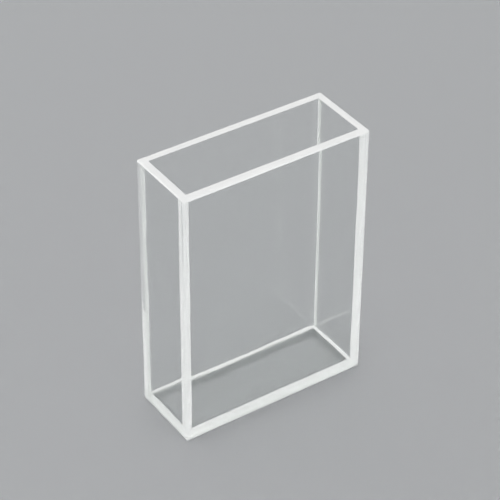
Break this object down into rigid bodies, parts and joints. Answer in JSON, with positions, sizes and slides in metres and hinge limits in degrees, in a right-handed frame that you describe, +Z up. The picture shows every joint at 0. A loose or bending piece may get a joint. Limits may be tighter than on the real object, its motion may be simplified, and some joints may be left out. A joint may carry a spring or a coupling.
{
  "type": "cuvette",
  "caption": "Open-topped rectangular cuvette of clear plates fused edge to edge, with white ground joints and a ground rim, for holding a liquid sample in a light path.",
  "frame": {"origin": "centre of the foot, on the surface the cuvette stands on", "axes": "+Z up through the open top, X along the light path from window to window, -Y the front side plate"},
  "size_m": [0.0324, 0.0126, 0.045],
  "materials": {
    "clear_glass": "polished clear faces, with the rim, the outer bevels and the faces bonded between plates ground to a fine matt white"
  },
  "bodies": {
    "root": {"front_side_plate": "clear_glass", "back_side_plate": "clear_glass", "left_window": "clear_glass", "right_window": "clear_glass", "floor_plate": "clear_glass"}
  },
  "joints": []
}
